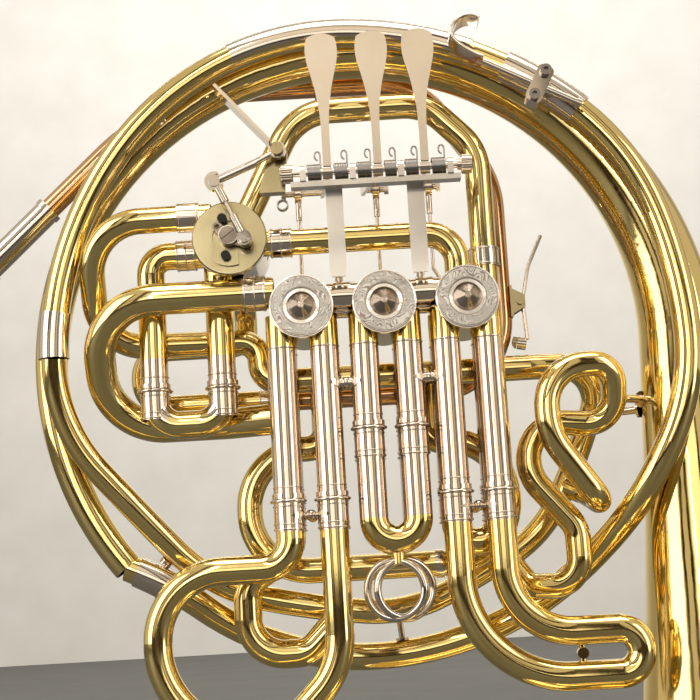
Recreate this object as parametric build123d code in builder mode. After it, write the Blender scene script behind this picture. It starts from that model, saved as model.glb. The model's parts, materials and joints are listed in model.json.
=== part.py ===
from build123d import *
import math
import os

# French horn (double horn, four rotary valves), millimetres.
# Origin: centre of the bell rim, on the plane the rim rests on.
# +Z runs up the bell, +X points from the valves towards the bell, +Y points to the back of the horn.
os.makedirs("parts", exist_ok=True)

# ---------------------------------------------------------------- driving dimensions
RIM_RADIUS = 155.0
FLARE_SCALE = 22.2
FLARE_POWER = 0.75
SHEET = 0.6
BELL_HEIGHT = 330.0
TAIL_RADIUS = 154.0
TAIL_CENTRE_X = -154.0
TAIL_END_ANGLE = 219.0
TAIL_SMALL_OUTER = 14.6
BEAD_HEIGHT = 4.4
BEAD_WIDTH = 4.6

TUBE_WALL = 0.55
VALVE_X = (-183.0, -144.0, -105.0)
VALVE_Z = 349.0
CASE_RADIUS = 14.0
CASE_FRONT = -36.0
CASE_BACK = 5.0
ROTOR_RADIUS = 12.4
RUNNING_GAP = 0.05
CAP_RADIUS = 15.1
FRONT_Y = -28.0
REAR_Y = -8.0
PORT_OFFSET = 10.3

SLEEVE_OUTER = 13.6
SLEEVE_BORE = 12.1
SLIDE_OUTER = 12.0
BOW_OUTER = 13.4
BOW_BORE = 11.0

CHANGE_X = -215.0
CHANGE_Z = 383.0
CHANGE_CASE_RADIUS = 16.4
CHANGE_DISC_RADIUS = 17.7
CHANGE_ROTOR_RADIUS = 14.4

AXLE_Y = -48.0
AXLE_Z = 410.0
AXLE_RADIUS = 1.6
LEVER_X = (-167.0, -143.4, -121.4)
ROD_X = (-183.2, -143.7, -117.0)
ROD_Y = 12.5
LEVER_REST_ANGLE = 6.05
CRANK_RADIUS = 9.0
EYE_CLEARANCE = 0.65

LEFT_U_Y = -13.0
LEFT_U_X = (-256.0, -223.4)
OVAL_Y = 6.0
FIRST_X = (VALVE_X[0] - 10.9, VALVE_X[0] + 9.6)
SECOND_X = (VALVE_X[1] - 10.6, VALVE_X[1] + 10.0)
THIRD_X = (VALVE_X[2] - 11.0, VALVE_X[2] + 9.4)

POLES_ALONG_X = (0, 90, 0)


# ---------------------------------------------------------------- small helpers
def save(part, name):
    """Labels a finished piece and writes it."""
    part.label = name
    export_step(part, f"parts/{name}.step")


def tube(points, bends, outer, wall=TUBE_WALL, mode=Mode.ADD):
    """A round tube along straight runs joined by tangent arcs."""
    with BuildLine() as route:
        if bends:
            FilletPolyline(*points, radius=bends)
        else:
            Line(*points)
    path = route.line
    with BuildSketch(Plane(origin=path @ 0, z_dir=path % 0)) as section:
        Circle(outer / 2)
        if wall:
            Circle(outer / 2 - wall, mode=Mode.SUBTRACT)
    sweep(section.sketch, path=path, mode=mode)


def rod(start, end, radius, mode=Mode.ADD):
    """A solid round bar between two points."""
    with BuildLine() as route:
        Line(start, end)
    with BuildSketch(Plane(origin=route.line @ 0, z_dir=route.line % 0)) as section:
        Circle(radius)
    sweep(section.sketch, path=route.line, mode=mode)


def ring(start, end, inner, outer):
    """A straight collar round a tube, between two points on the tube's axis."""
    with BuildLine() as route:
        Line(start, end)
    with BuildSketch(Plane(origin=route.line @ 0, z_dir=route.line % 0)) as section:
        Circle(outer)
        Circle(inner, mode=Mode.SUBTRACT)
    sweep(section.sketch, path=route.line)


def front_plane(x, y, z):
    """A sketch plane that looks out of the front of the horn, its x along +X and its y along +Z."""
    return Plane(origin=(x, y, z), x_dir=(1, 0, 0), z_dir=(0, -1, 0))


def drum(x, z, radius, front, back, mode=Mode.ADD):
    """A cylinder with its axis along Y, from the front face to the back face."""
    with BuildSketch(Plane(origin=(x, front, z), z_dir=(0, 1, 0))) as section:
        Circle(radius)
    extrude(section.sketch, amount=back - front, mode=mode)


def clear_valves(radius=CASE_RADIUS):
    """Cuts away whatever reaches into the three valve casings."""
    for x in VALVE_X:
        drum(x, VALVE_Z, radius, CASE_FRONT - 6, CASE_BACK + 6, Mode.SUBTRACT)


def clear_change_valve(radius=CHANGE_CASE_RADIUS):
    """Cuts away whatever reaches into the change valve's casing."""
    drum(CHANGE_X, CHANGE_Z, radius, CASE_FRONT - 6, CASE_BACK + 6, Mode.SUBTRACT)


def arc_route(centre, points):
    """A chain of tangent arcs through points given as (radius, y, angle) about a centre in XZ."""
    pieces = []
    placed = []
    for radius, y, angle in points:
        a = math.radians(angle)
        placed.append(Vector(centre[0] + radius * math.cos(a), y, centre[1] + radius * math.sin(a)))
    a0 = math.radians(points[0][2])
    turn = 1 if points[1][2] > points[0][2] else -1
    tangent = Vector(-turn * math.sin(a0), 0, turn * math.cos(a0))
    for start, end in zip(placed, placed[1:]):
        piece = TangentArc(start, end, tangent=tangent, mode=Mode.PRIVATE)
        pieces.append(piece)
        tangent = piece % 1
    return Wire(pieces)


def arc_tube(centre, points, outer, wall=TUBE_WALL):
    """A round tube along a chain of tangent arcs."""
    path = arc_route(centre, points)
    with BuildSketch(Plane(origin=path @ 0, z_dir=path % 0)) as section:
        Circle(outer / 2)
        Circle(outer / 2 - wall, mode=Mode.SUBTRACT)
    sweep(section.sketch, path=path)


def flare_radius(height):
    """Outer radius of the bell at a height above the rim plane."""
    return RIM_RADIUS * (FLARE_SCALE / (height + FLARE_SCALE)) ** FLARE_POWER


def flare_slope(height):
    return -FLARE_POWER * flare_radius(height) / (height + FLARE_SCALE)


# ---------------------------------------------------------------- bell
def flare_inner(height):
    """The point of the inner wall opposite the outer wall at a height."""
    slope = flare_slope(height)
    length = math.hypot(1, slope)
    return (flare_radius(height) - SHEET / length, height + slope * SHEET / length)


FLARE_FOOT = 1.2
flare_heights = [FLARE_FOOT + (BELL_HEIGHT - FLARE_FOOT) * (i / 14) ** 2.2 for i in range(15)]
with BuildPart() as bell_flare:
    with BuildSketch(Plane.XZ):
        with BuildLine():
            outer_wall = Spline(*[(flare_radius(h), h) for h in flare_heights])
            inner_wall = Spline(*[flare_inner(h) for h in flare_heights])
            Line(outer_wall @ 0, inner_wall @ 0)
            Line(outer_wall @ 1, inner_wall @ 1)
        make_face()
    revolve(axis=Axis.Z)
    with BuildSketch(Plane.XY.offset(BELL_HEIGHT)):
        Rectangle(100, 100)
    extrude(amount=10, mode=Mode.SUBTRACT)
save(bell_flare.part, "bell_flare")

bead_middle = flare_radius(FLARE_FOOT)
with BuildPart() as bell_rim_bead:
    with BuildSketch(Plane.XZ):
        with Locations((bead_middle, BEAD_HEIGHT / 2)):
            RectangleRounded(BEAD_WIDTH, BEAD_HEIGHT, 1.6)
        with BuildLine():
            groove_outer = Spline(*[(flare_radius(h), h) for h in flare_heights[:6]])
            groove_inner = Spline(*[flare_inner(h) for h in flare_heights[:6]])
            Line(groove_outer @ 0, groove_inner @ 0)
            Line(groove_outer @ 1, groove_inner @ 1)
        make_face(mode=Mode.SUBTRACT)
    revolve(axis=Axis.Z)
save(bell_rim_bead.part, "bell_rim_bead")

# The tail is the cone of the bell wound over the top of the horn, growing all the way.
TAIL_STEPS = 14
TAIL_OUTER_END = 2 * flare_radius(BELL_HEIGHT)


def tail_outer(part_way):
    """Outer diameter of the tail, from its small end (0) to the bell (1)."""
    return TAIL_SMALL_OUTER + (TAIL_OUTER_END - TAIL_SMALL_OUTER) * part_way ** 1.7


def tail_section(step, shrink):
    """Draws the tail's round section at one step along the arc."""
    part_way = step / TAIL_STEPS
    a = math.radians(TAIL_END_ANGLE * (1 - part_way))
    centre = (TAIL_CENTRE_X + TAIL_RADIUS * math.cos(a), 0, BELL_HEIGHT + TAIL_RADIUS * math.sin(a))
    with BuildSketch(Plane(origin=centre, x_dir=(0, 1, 0), z_dir=(math.sin(a), 0, -math.cos(a)))) as section:
        Circle(tail_outer(part_way) / 2 - shrink)
    return section.sketch.face()


with BuildPart() as bell_tail:
    for shrink, how in ((0, Mode.ADD), (SHEET, Mode.SUBTRACT)):
        loft([tail_section(step, shrink) for step in range(TAIL_STEPS + 1)], mode=how)
save(bell_tail.part, "bell_tail")

# ---------------------------------------------------------------- ring branches
RING_CENTRE = (-156.5, 334.0)
tail_start = math.radians(TAIL_END_ANGLE)
tail_mouth = (TAIL_CENTRE_X + TAIL_RADIUS * math.cos(tail_start),
              BELL_HEIGHT + TAIL_RADIUS * math.sin(tail_start))
join_radius = math.hypot(tail_mouth[0] - RING_CENTRE[0], tail_mouth[1] - RING_CENTRE[1])
join_angle = math.degrees(math.atan2(tail_mouth[1] - RING_CENTRE[1], tail_mouth[0] - RING_CENTRE[0]))
OUTER_BRANCH = 13.2
OUTER_TURN = (
    (147.0, -17.0, 180.0),
    (151.5, -19.0, 135.0),
    (153.5, -20.5, 90.0),
    (154.5, -24.8, 45.0),
    (154.5, -28.0, 20.0),
    (154.5, -29.0, -2.0),
    (153.5, -26.0, -22.0),
    (152.0, -9.0, -37.0),
    (151.0, 4.0, -50.0),
    (150.0, 8.5, -68.0),
    (149.5, 8.5, -90.0),
    (149.0, 8.2, -107.0),
    (147.0, 4.8, -124.0),
    (join_radius, 0.0, join_angle),
)
with BuildPart() as outer_branch:
    arc_tube(RING_CENTRE, OUTER_TURN, OUTER_BRANCH)
save(outer_branch.part, "outer_branch")

INNER_BRANCH = 12.2
INNER_TURN = (
    (118.9, 19.0, 338.3),
    (122.8, 20.0, 320.0),
    (125.0, 19.5, 303.0),
    (126.5, 14.0, 286.0),
    (128.0, 8.5, 268.0),
    (130.2, 6.6, 246.0),
    (133.0, 0.0, 225.0),
    (139.5, -9.0, 203.0),
    (147.0, -17.0, 180.0),
)
with BuildPart() as inner_branch:
    arc_tube(RING_CENTRE, INNER_TURN, INNER_BRANCH)
save(inner_branch.part, "inner_branch")

# ---------------------------------------------------------------- leadpipe
PIPE_OUTER = 10.8
PIPE_Y = 18.0
PIPE_START = Vector(-325, PIPE_Y, 404)
PIPE_CORNER = Vector(-250, PIPE_Y, 474)
PIPE_END_X = -208.0
PIPE_Z = 312.0
with BuildPart() as leadpipe:
    tube(
        [PIPE_START, PIPE_CORNER, (-121, PIPE_Y, 474), (-84, PIPE_Y, 420), (-84, PIPE_Y, PIPE_Z),
         (PIPE_END_X, PIPE_Y, PIPE_Z)],
        [110, 40, 50, 36], PIPE_OUTER, 0.5,
    )
save(leadpipe.part, "leadpipe")

pipe_way = (PIPE_CORNER - PIPE_START).normalized()
RECEIVER_BORE = 4.1
RECEIVER_LENGTH = 46.0
receiver_mouth = PIPE_START - pipe_way * 26
with BuildPart() as mouthpiece_receiver:
    ring(receiver_mouth, receiver_mouth + pipe_way * RECEIVER_LENGTH, PIPE_OUTER / 2, 6.6)
    ring(receiver_mouth, PIPE_START, RECEIVER_BORE, 6.0)
    ring(receiver_mouth, receiver_mouth + pipe_way * 3, RECEIVER_BORE, 7.6)
    ring(PIPE_START + pipe_way * 17, PIPE_START + pipe_way * 20, PIPE_OUTER / 2, 7.2)
save(mouthpiece_receiver.part, "mouthpiece_receiver")

# ---------------------------------------------------------------- valves
CASE_BORE = ROTOR_RADIUS + RUNNING_GAP
with BuildPart() as valve_casings:
    for x in VALVE_X:
        drum(x, VALVE_Z, CASE_RADIUS, CASE_FRONT, CASE_BACK)
        drum(x, VALVE_Z, CASE_BORE, CASE_FRONT, CASE_BACK, Mode.SUBTRACT)
        for y in (FRONT_Y, REAR_Y):
            for side in (-1, 1):
                bottom = (x + side * PORT_OFFSET * 0.72, y, VALVE_Z - CASE_RADIUS - 2)
                rod(bottom, (bottom[0], y, VALVE_Z - 2), 3.2, Mode.SUBTRACT)
save(valve_casings.part, "valve_casings")

with BuildPart() as valve_caps:
    for x in VALVE_X:
        with BuildSketch(Plane(origin=(x, CASE_FRONT - 0.02, VALVE_Z), z_dir=(0, -1, 0))):
            Circle(CAP_RADIUS)
        extrude(amount=2.6, taper=1)
        with BuildSketch(Plane(origin=(x, CASE_FRONT - 2.6, VALVE_Z), z_dir=(0, -1, 0))):
            Circle(CAP_RADIUS - 0.4)
            Circle(8.4, mode=Mode.SUBTRACT)
        extrude(amount=1.2, taper=12)
        with BuildSketch(Plane(origin=(x, CASE_FRONT - 2.6, VALVE_Z), z_dir=(0, -1, 0))):
            Circle(6.7)
        extrude(amount=4.6, taper=48)
save(valve_caps.part, "valve_caps")

PLATE = 2.0
with BuildPart() as bearing_plates:
    for x in VALVE_X:
        drum(x, VALVE_Z, CASE_RADIUS, CASE_BACK + 0.02, CASE_BACK + PLATE)
        drum(x, VALVE_Z, 3.05, CASE_BACK - 1, CASE_BACK + PLATE + 1, Mode.SUBTRACT)
save(bearing_plates.part, "bearing_plates")

PIN_X = -CRANK_RADIUS * math.sin(math.radians(45))
PIN_Z = CRANK_RADIUS * math.cos(math.radians(45))
ARM_FRONT = CASE_BACK + PLATE + 0.3
for number, x in enumerate(VALVE_X, start=1):
    with BuildPart() as rotor:
        drum(x, VALVE_Z, ROTOR_RADIUS, CASE_FRONT + 0.3, CASE_BACK - 0.3)
        for y in (FRONT_Y, REAR_Y):
            for side in (-1, 1):
                rod((x + side * 7.2, y, VALVE_Z - 20), (x + side * 7.2, y, VALVE_Z + 20), 4.6, Mode.SUBTRACT)
        drum(x, VALVE_Z, 3.0, CASE_BACK - 0.3, ARM_FRONT + 2.4)
        with BuildSketch(front_plane(x, ARM_FRONT + 2.4, VALVE_Z)):
            with Locations((PIN_X / 2, PIN_Z / 2)):
                SlotCenterToCenter(CRANK_RADIUS, 5.6, rotation=135)
            with Locations((-PIN_X * 0.4, -PIN_Z * 0.4)):
                SlotCenterToCenter(6.6, 4.4, rotation=-45)
        extrude(amount=2.2)
        drum(x, VALVE_Z, 4.4, ARM_FRONT, ARM_FRONT + 3.0)
        drum(x + PIN_X, VALVE_Z + PIN_Z, 1.4, ARM_FRONT, ROD_Y + 2.4)
        drum(x + PIN_X, VALVE_Z + PIN_Z, 2.4, ROD_Y + 1.7, ROD_Y + 2.9)
    save(rotor.part, f"rotor_{number}")

# Cork posts stand on the bearing plates where the tail of each stop arm comes to rest.
CORK_X = 9.0 * math.cos(math.radians(76))
CORK_Z = 9.0 * math.sin(math.radians(76))
with BuildPart() as cork_plates:
    for x in VALVE_X:
        for corner in (-1, 1):
            spot = (x + CORK_X, CASE_BACK + PLATE + 0.02, VALVE_Z + corner * CORK_Z)
            with BuildSketch(Plane(origin=spot, z_dir=(0, 1, 0))):
                Circle(2.2)
                Circle(1.5, mode=Mode.SUBTRACT)
            extrude(amount=3)
save(cork_plates.part, "cork_plates")

# ---------------------------------------------------------------- change valve
with BuildPart() as change_casing:
    drum(CHANGE_X, CHANGE_Z, CHANGE_CASE_RADIUS, CASE_FRONT, CASE_BACK)
    drum(CHANGE_X, CHANGE_Z, CHANGE_ROTOR_RADIUS + RUNNING_GAP, CASE_FRONT, CASE_BACK - 2, Mode.SUBTRACT)
    for y in (FRONT_Y, REAR_Y):
        rod((CHANGE_X, y, CHANGE_Z), (CHANGE_X - 25, y, CHANGE_Z), 4.6, Mode.SUBTRACT)
        rod((CHANGE_X, y, CHANGE_Z), (CHANGE_X + 25, y, CHANGE_Z), 4.6, Mode.SUBTRACT)
save(change_casing.part, "change_casing")

CHANGE_FACE = CASE_FRONT - 4.0
with BuildPart() as change_disc:
    drum(CHANGE_X, CHANGE_Z, CHANGE_DISC_RADIUS, CHANGE_FACE, CASE_FRONT - 0.02)
    front_edge = change_disc.edges().filter_by(GeomType.CIRCLE).sort_by(Axis.Y)[0]
    chamfer(front_edge, 0.6)
    drum(CHANGE_X, CHANGE_Z, 3.05, CHANGE_FACE - 1, CASE_FRONT + 1, Mode.SUBTRACT)
save(change_disc.part, "change_disc")

CORK_ARC = 11.2
with BuildPart() as change_cork_plate:
    with BuildSketch(front_plane(CHANGE_X, CHANGE_FACE, CHANGE_Z)):
        Circle(CORK_ARC + 2.4)
        Circle(CORK_ARC - 3.2, mode=Mode.SUBTRACT)
        with Locations((16, 0)):
            Rectangle(24, 40, mode=Mode.SUBTRACT)
    extrude(amount=1.6)
save(change_cork_plate.part, "change_cork_plate")

CHANGE_PIN_RADIUS = 8.2
CHANGE_PIN_ANGLE = -20.0
CHANGE_TAIL_ANGLE = 138.0
CHANGE_ARM_FRONT = CHANGE_FACE - 5.6
CHANGE_LINK_Y = -49.6


def change_spot(radius, angle):
    a = math.radians(angle)
    return (CHANGE_X + radius * math.cos(a), CHANGE_Z + radius * math.sin(a))


change_pin = change_spot(CHANGE_PIN_RADIUS, CHANGE_PIN_ANGLE)
with BuildPart() as corks:
    for angle in (CHANGE_TAIL_ANGLE - 31, CHANGE_TAIL_ANGLE + 121):
        spot = change_spot(9.2, angle)
        drum(spot[0], spot[1], 2.2, CHANGE_FACE - 4.8, CHANGE_FACE - 1.62)
    for x in VALVE_X:
        for corner in (-1, 1):
            drum(x + CORK_X, VALVE_Z + corner * CORK_Z, 1.48,
                 CASE_BACK + PLATE + 0.02, CASE_BACK + PLATE + 4.6)
save(corks.part, "corks")

with BuildPart() as change_rotor:
    drum(CHANGE_X, CHANGE_Z, CHANGE_ROTOR_RADIUS, CASE_FRONT + 0.3, CASE_BACK - 2.3)
    for y in (FRONT_Y, REAR_Y):
        for side in (-1, 1):
            height = CHANGE_Z + side * 7.8
            rod((CHANGE_X - 20, y, height), (CHANGE_X + 20, y, height), 4.8, Mode.SUBTRACT)
    drum(CHANGE_X, CHANGE_Z, 3.0, CHANGE_ARM_FRONT, CASE_FRONT + 0.3)
    drum(CHANGE_X, CHANGE_Z, 4.6, CHANGE_ARM_FRONT, CHANGE_FACE - 2.0)
    for angle, reach, width in ((CHANGE_PIN_ANGLE, CHANGE_PIN_RADIUS, 6.0), (CHANGE_TAIL_ANGLE, 7.0, 4.4)):
        a = math.radians(angle)
        with BuildSketch(front_plane(CHANGE_X, CHANGE_ARM_FRONT + 3.0, CHANGE_Z)):
            with Locations((reach / 2 * math.cos(a), reach / 2 * math.sin(a))):
                SlotCenterToCenter(reach, width, rotation=angle)
            if width < 5:
                with Locations((reach * math.cos(a), reach * math.sin(a))):
                    Circle(1.3, mode=Mode.SUBTRACT)
        extrude(amount=2.4)
    drum(CHANGE_X, CHANGE_Z, 4.2, CHANGE_ARM_FRONT - 1.6, CHANGE_ARM_FRONT)
    with BuildSketch(front_plane(CHANGE_X, CHANGE_ARM_FRONT - 1.6, CHANGE_Z)):
        Rectangle(9, 0.9, rotation=35)
    extrude(amount=-0.8, mode=Mode.SUBTRACT)
    drum(change_pin[0], change_pin[1], 2.0, CHANGE_LINK_Y + 1.8, CHANGE_ARM_FRONT + 1.2)
save(change_rotor.part, "change_rotor")

# Thumb lever: touch plate, pivot and lower arm with its ball, all turning about one screw.
THUMB_PIVOT = (-190.0, 421.5)
THUMB_BALL = (-220.0, 408.0)
THUMB_Y = CHANGE_LINK_Y
THUMB_BALL_RADIUS = 2.7
TOUCH_END = (-217.0, 453.0)
with BuildPart() as change_lever:
    drum(THUMB_PIVOT[0], THUMB_PIVOT[1], 4.0, THUMB_Y - 1.5, THUMB_Y + 2.5)
    with BuildSketch(front_plane(0, THUMB_Y + 4.6, 0)):
        with BuildLine():
            touch_face = ThreePointArc((THUMB_PIVOT[0] - 2.4, THUMB_PIVOT[1] + 2.9),
                                       (-205.0, 439.2), TOUCH_END)
            touch_back = ThreePointArc((THUMB_PIVOT[0] - 3.4, THUMB_PIVOT[1] + 1.9), (-206.2, 438.1),
                                       (TOUCH_END[0] - 1.2, TOUCH_END[1] - 0.9))
            Line(touch_face @ 0, touch_back @ 0)
            Line(touch_face @ 1, touch_back @ 1)
        make_face()
    extrude(amount=13)
    rod((THUMB_PIVOT[0] - 2.4, THUMB_Y, THUMB_PIVOT[1] - 1.4), (-201.5, THUMB_Y, 415.6), 1.6)
    rod((-200, THUMB_Y, 416), (THUMB_BALL[0], THUMB_Y, THUMB_BALL[1]), 1.9)
    drum(THUMB_BALL[0], THUMB_BALL[1], THUMB_BALL_RADIUS, THUMB_Y - 2.4, THUMB_Y + 2.4)
    drum(THUMB_PIVOT[0], THUMB_PIVOT[1], 1.65, THUMB_Y - 8, THUMB_Y + 8, Mode.SUBTRACT)
save(change_lever.part, "change_lever")

link_way = Vector(change_pin[0] - THUMB_BALL[0], 0, change_pin[1] - THUMB_BALL[1])
link_unit = link_way.normalized()
ball_spot = Vector(THUMB_BALL[0], THUMB_Y, THUMB_BALL[1])
pin_spot = Vector(change_pin[0], CHANGE_LINK_Y, change_pin[1])
with BuildPart() as change_link:
    drum(THUMB_BALL[0], THUMB_BALL[1], 4.5, THUMB_Y - 1.8, THUMB_Y + 1.8)
    rod(ball_spot + link_unit * 3.6, ball_spot + link_unit * 11, 2.1)
    rod(ball_spot + link_unit * 10, pin_spot - link_unit * 11, 0.9)
    rod(pin_spot - link_unit * 12, pin_spot - link_unit * 3.2, 2.1)
    drum(change_pin[0], change_pin[1], 3.5, CHANGE_LINK_Y - 1.6, CHANGE_LINK_Y + 1.6)
    drum(change_pin[0], change_pin[1], 2.4, CHANGE_LINK_Y - 2.8, CHANGE_LINK_Y)
    with BuildSketch(Plane(origin=(change_pin[0], CHANGE_LINK_Y - 2.8, change_pin[1]), z_dir=(0, -1, 0))):
        Rectangle(6, 0.7, rotation=60)
    extrude(amount=-0.7, mode=Mode.SUBTRACT)
    drum(THUMB_BALL[0], THUMB_BALL[1], THUMB_BALL_RADIUS + 0.2, THUMB_Y - 4, THUMB_Y + 4, Mode.SUBTRACT)
    rod(ball_spot, ball_spot + Vector(12, 0, 4.8), 3.3, Mode.SUBTRACT)
save(change_link.part, "change_link")

BRACKET_BACK = -40.3
with BuildPart() as change_bracket:
    with BuildSketch(front_plane(0, BRACKET_BACK, 0)):
        with BuildLine():
            Polyline((-194.4, 421.5), (-199.6, 404.2), (-187.4, 404.2), (-185.6, 421.5), close=True)
        make_face()
        with Locations((THUMB_PIVOT[0], THUMB_PIVOT[1])):
            Circle(4.4)
    extrude(amount=3.2)
    drum(THUMB_PIVOT[0], THUMB_PIVOT[1], 1.58, THUMB_Y - 3.4, BRACKET_BACK)
    drum(THUMB_PIVOT[0], THUMB_PIVOT[1], 3.0, THUMB_Y - 4.2, THUMB_Y - 1.7)
    with BuildSketch(Plane(origin=(THUMB_PIVOT[0], THUMB_Y - 4.2, THUMB_PIVOT[1]), z_dir=(0, -1, 0))):
        Rectangle(6.6, 0.8)
    extrude(amount=-0.8, mode=Mode.SUBTRACT)
    with BuildSketch(Plane.XY.offset(403.0)):
        with Locations((-193.5, BRACKET_BACK - 3.2)):
            Rectangle(12, 7, align=(Align.CENTER, Align.MIN))
    extrude(amount=1.4)
    rod((-193.5, BRACKET_BACK + 0.4, 405.4), (-193.5, -27.4, 411.0), 2.2)
save(change_bracket.part, "change_bracket")


def coil(start, axis, radius, wire, pitch, turns):
    """A helical spring wire."""
    with BuildLine() as route:
        Helix(pitch=pitch, height=pitch * turns, radius=radius, center=start, direction=axis)
    with BuildSketch(Plane(origin=route.line @ 0, z_dir=route.line % 0)) as section:
        Circle(wire / 2)
    sweep(section.sketch, path=route.line)


with BuildPart() as change_spring:
    coil((-189.0, -45.0, 396.4), (0, 1, 0), 2.4, 0.7, 0.95, 4)
save(change_spring.part, "change_spring")

# ---------------------------------------------------------------- lever rack
RACK_LEFT = -184.5
RACK_RIGHT = -105.0
POST_X = (-178.6, -155.3, -132.7, -109.6)
POST_HALF = 1.4
BAR_TOP = 405.6
with BuildPart() as lever_rack:
    with BuildSketch(Plane.XY.offset(BAR_TOP - 2.6)):
        with Locations(((RACK_LEFT + RACK_RIGHT) / 2, AXLE_Y + 1.5)):
            Rectangle(RACK_RIGHT - RACK_LEFT, 7)
    extrude(amount=2.6)
    for x in POST_X:
        with BuildSketch(Plane(origin=(x - POST_HALF, 0, 0), x_dir=(0, 1, 0), z_dir=(1, 0, 0))):
            with Locations((AXLE_Y, AXLE_Z)):
                Circle(3.4)
            with Locations((AXLE_Y, BAR_TOP)):
                Rectangle(6.8, AXLE_Z - BAR_TOP, align=(Align.CENTER, Align.MIN))
            with Locations((AXLE_Y, AXLE_Z)):
                Circle(AXLE_RADIUS, mode=Mode.SUBTRACT)
        extrude(amount=2 * POST_HALF)
    for x in (-164.6, -126.1):
        with BuildSketch(Plane.XZ.offset(40.4)):
            with BuildLine():
                Polyline((x - 4, 403.2), (x + 4, 403.2), (x + 4, 366), (x + 3.4, 361.6), (x - 3.4, 361.6),
                         (x - 4, 366), close=True)
            make_face()
        extrude(amount=-1.6)
        with BuildSketch(Plane.XY.offset(403.0)):
            with Locations((x, AXLE_Y + 6)):
                Rectangle(8, 6.0)
        extrude(amount=1.4)
        rod((x, -39.4, 363.6), (x, -33.2, 361.6), 2.0)
save(lever_rack.part, "lever_rack")

with BuildPart() as lever_axle:
    rod((RACK_LEFT - 2, AXLE_Y, AXLE_Z), (-102.0, AXLE_Y, AXLE_Z), AXLE_RADIUS - 0.02)
    for left, right in ((-189.2, -183.2), (-106.4, -104.6), (-104.6, -99.6)):
        rod((left, AXLE_Y, AXLE_Z), (right, AXLE_Y, AXLE_Z), 4.1 if right - left > 3 else 2.6)
save(lever_axle.part, "lever_axle")

SPRING_RADIUS = 3.6
SPRING_WIRE = 0.8
SPRING_TURNS = 6
with BuildPart() as paddle_springs:
    for left, right in ((-177.0, -169.6), (-164.4, -157.0), (-153.7, -146.0), (-140.8, -134.3),
                        (-131.1, -124.0), (-118.8, -111.2)):
        room = right - left - 1.2
        coil((left + 0.6, AXLE_Y, AXLE_Z), (1, 0, 0), SPRING_RADIUS, SPRING_WIRE,
             room / SPRING_TURNS, SPRING_TURNS)
        middle = (left + right) / 2
        rod((middle, AXLE_Y + SPRING_RADIUS, AXLE_Z + 1), (middle, AXLE_Y + 4.4, AXLE_Z + 10), 0.4)
save(paddle_springs.part, "paddle_springs")

HUB_HALF = 2.3
PADDLE_Y = AXLE_Y - 2.0
PADDLE_THICK = 1.6
ARM_LENGTH = ROD_Y - AXLE_Y
ARM_END_X = (-171.0, -150.4, -122.8)
NUT_X = (-189.4, -139.4, -113.2)
EYE_BALL = 2.8
EYE_Z = AXLE_Z + ARM_LENGTH * math.tan(math.radians(LEVER_REST_ANGLE))
PAD_TOP = 476.6
PAD_EDGE = ((1.9, 412), (1.9, 428), (2.6, 441), (5.0, 454), (7.6, 467), (6.7, 474.4))
for number, (x, rod_x, arm_x, nut_x) in enumerate(zip(LEVER_X, ROD_X, ARM_END_X, NUT_X), start=1):
    with BuildPart() as paddle:
        rod((x - HUB_HALF, AXLE_Y, AXLE_Z), (x + HUB_HALF, AXLE_Y, AXLE_Z), 3.6)
        with BuildSketch(front_plane(0, PADDLE_Y, 0)):
            with BuildLine():
                right_side = Spline(*[(x + half, z) for half, z in PAD_EDGE])
                left_side = Spline(*[(x - half, z) for half, z in PAD_EDGE])
                ThreePointArc(right_side @ 1, (x, PAD_TOP), left_side @ 1)
                Line(left_side @ 0, right_side @ 0)
            make_face()
        extrude(amount=PADDLE_THICK)
        arm_start = Vector(x, AXLE_Y + 2.4, AXLE_Z + 0.4)
        arm_end = Vector(arm_x, ROD_Y + 2.0, EYE_Z)
        arm_way = arm_end - arm_start
        with BuildSketch(Plane(origin=arm_start, x_dir=(0, -arm_way.Z, arm_way.Y), z_dir=arm_way)):
            Rectangle(4.6, 1.9)
        extrude(amount=arm_way.length)
        rod((arm_x, ROD_Y, EYE_Z), (nut_x, ROD_Y, EYE_Z), 1.5)
        nut_side = 1 if nut_x > arm_x else -1
        with BuildSketch(Plane(origin=(nut_x, ROD_Y, EYE_Z), z_dir=(nut_side, 0, 0))):
            RegularPolygon(2.7, 6)
        extrude(amount=2.2)
        with Locations(Location((rod_x, ROD_Y, EYE_Z), POLES_ALONG_X)):
            Sphere(EYE_BALL)
        rod((x - 9, AXLE_Y, AXLE_Z), (x + 9, AXLE_Y, AXLE_Z), AXLE_RADIUS + RUNNING_GAP, Mode.SUBTRACT)
    save(paddle.part, f"paddle_{number}")

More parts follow.
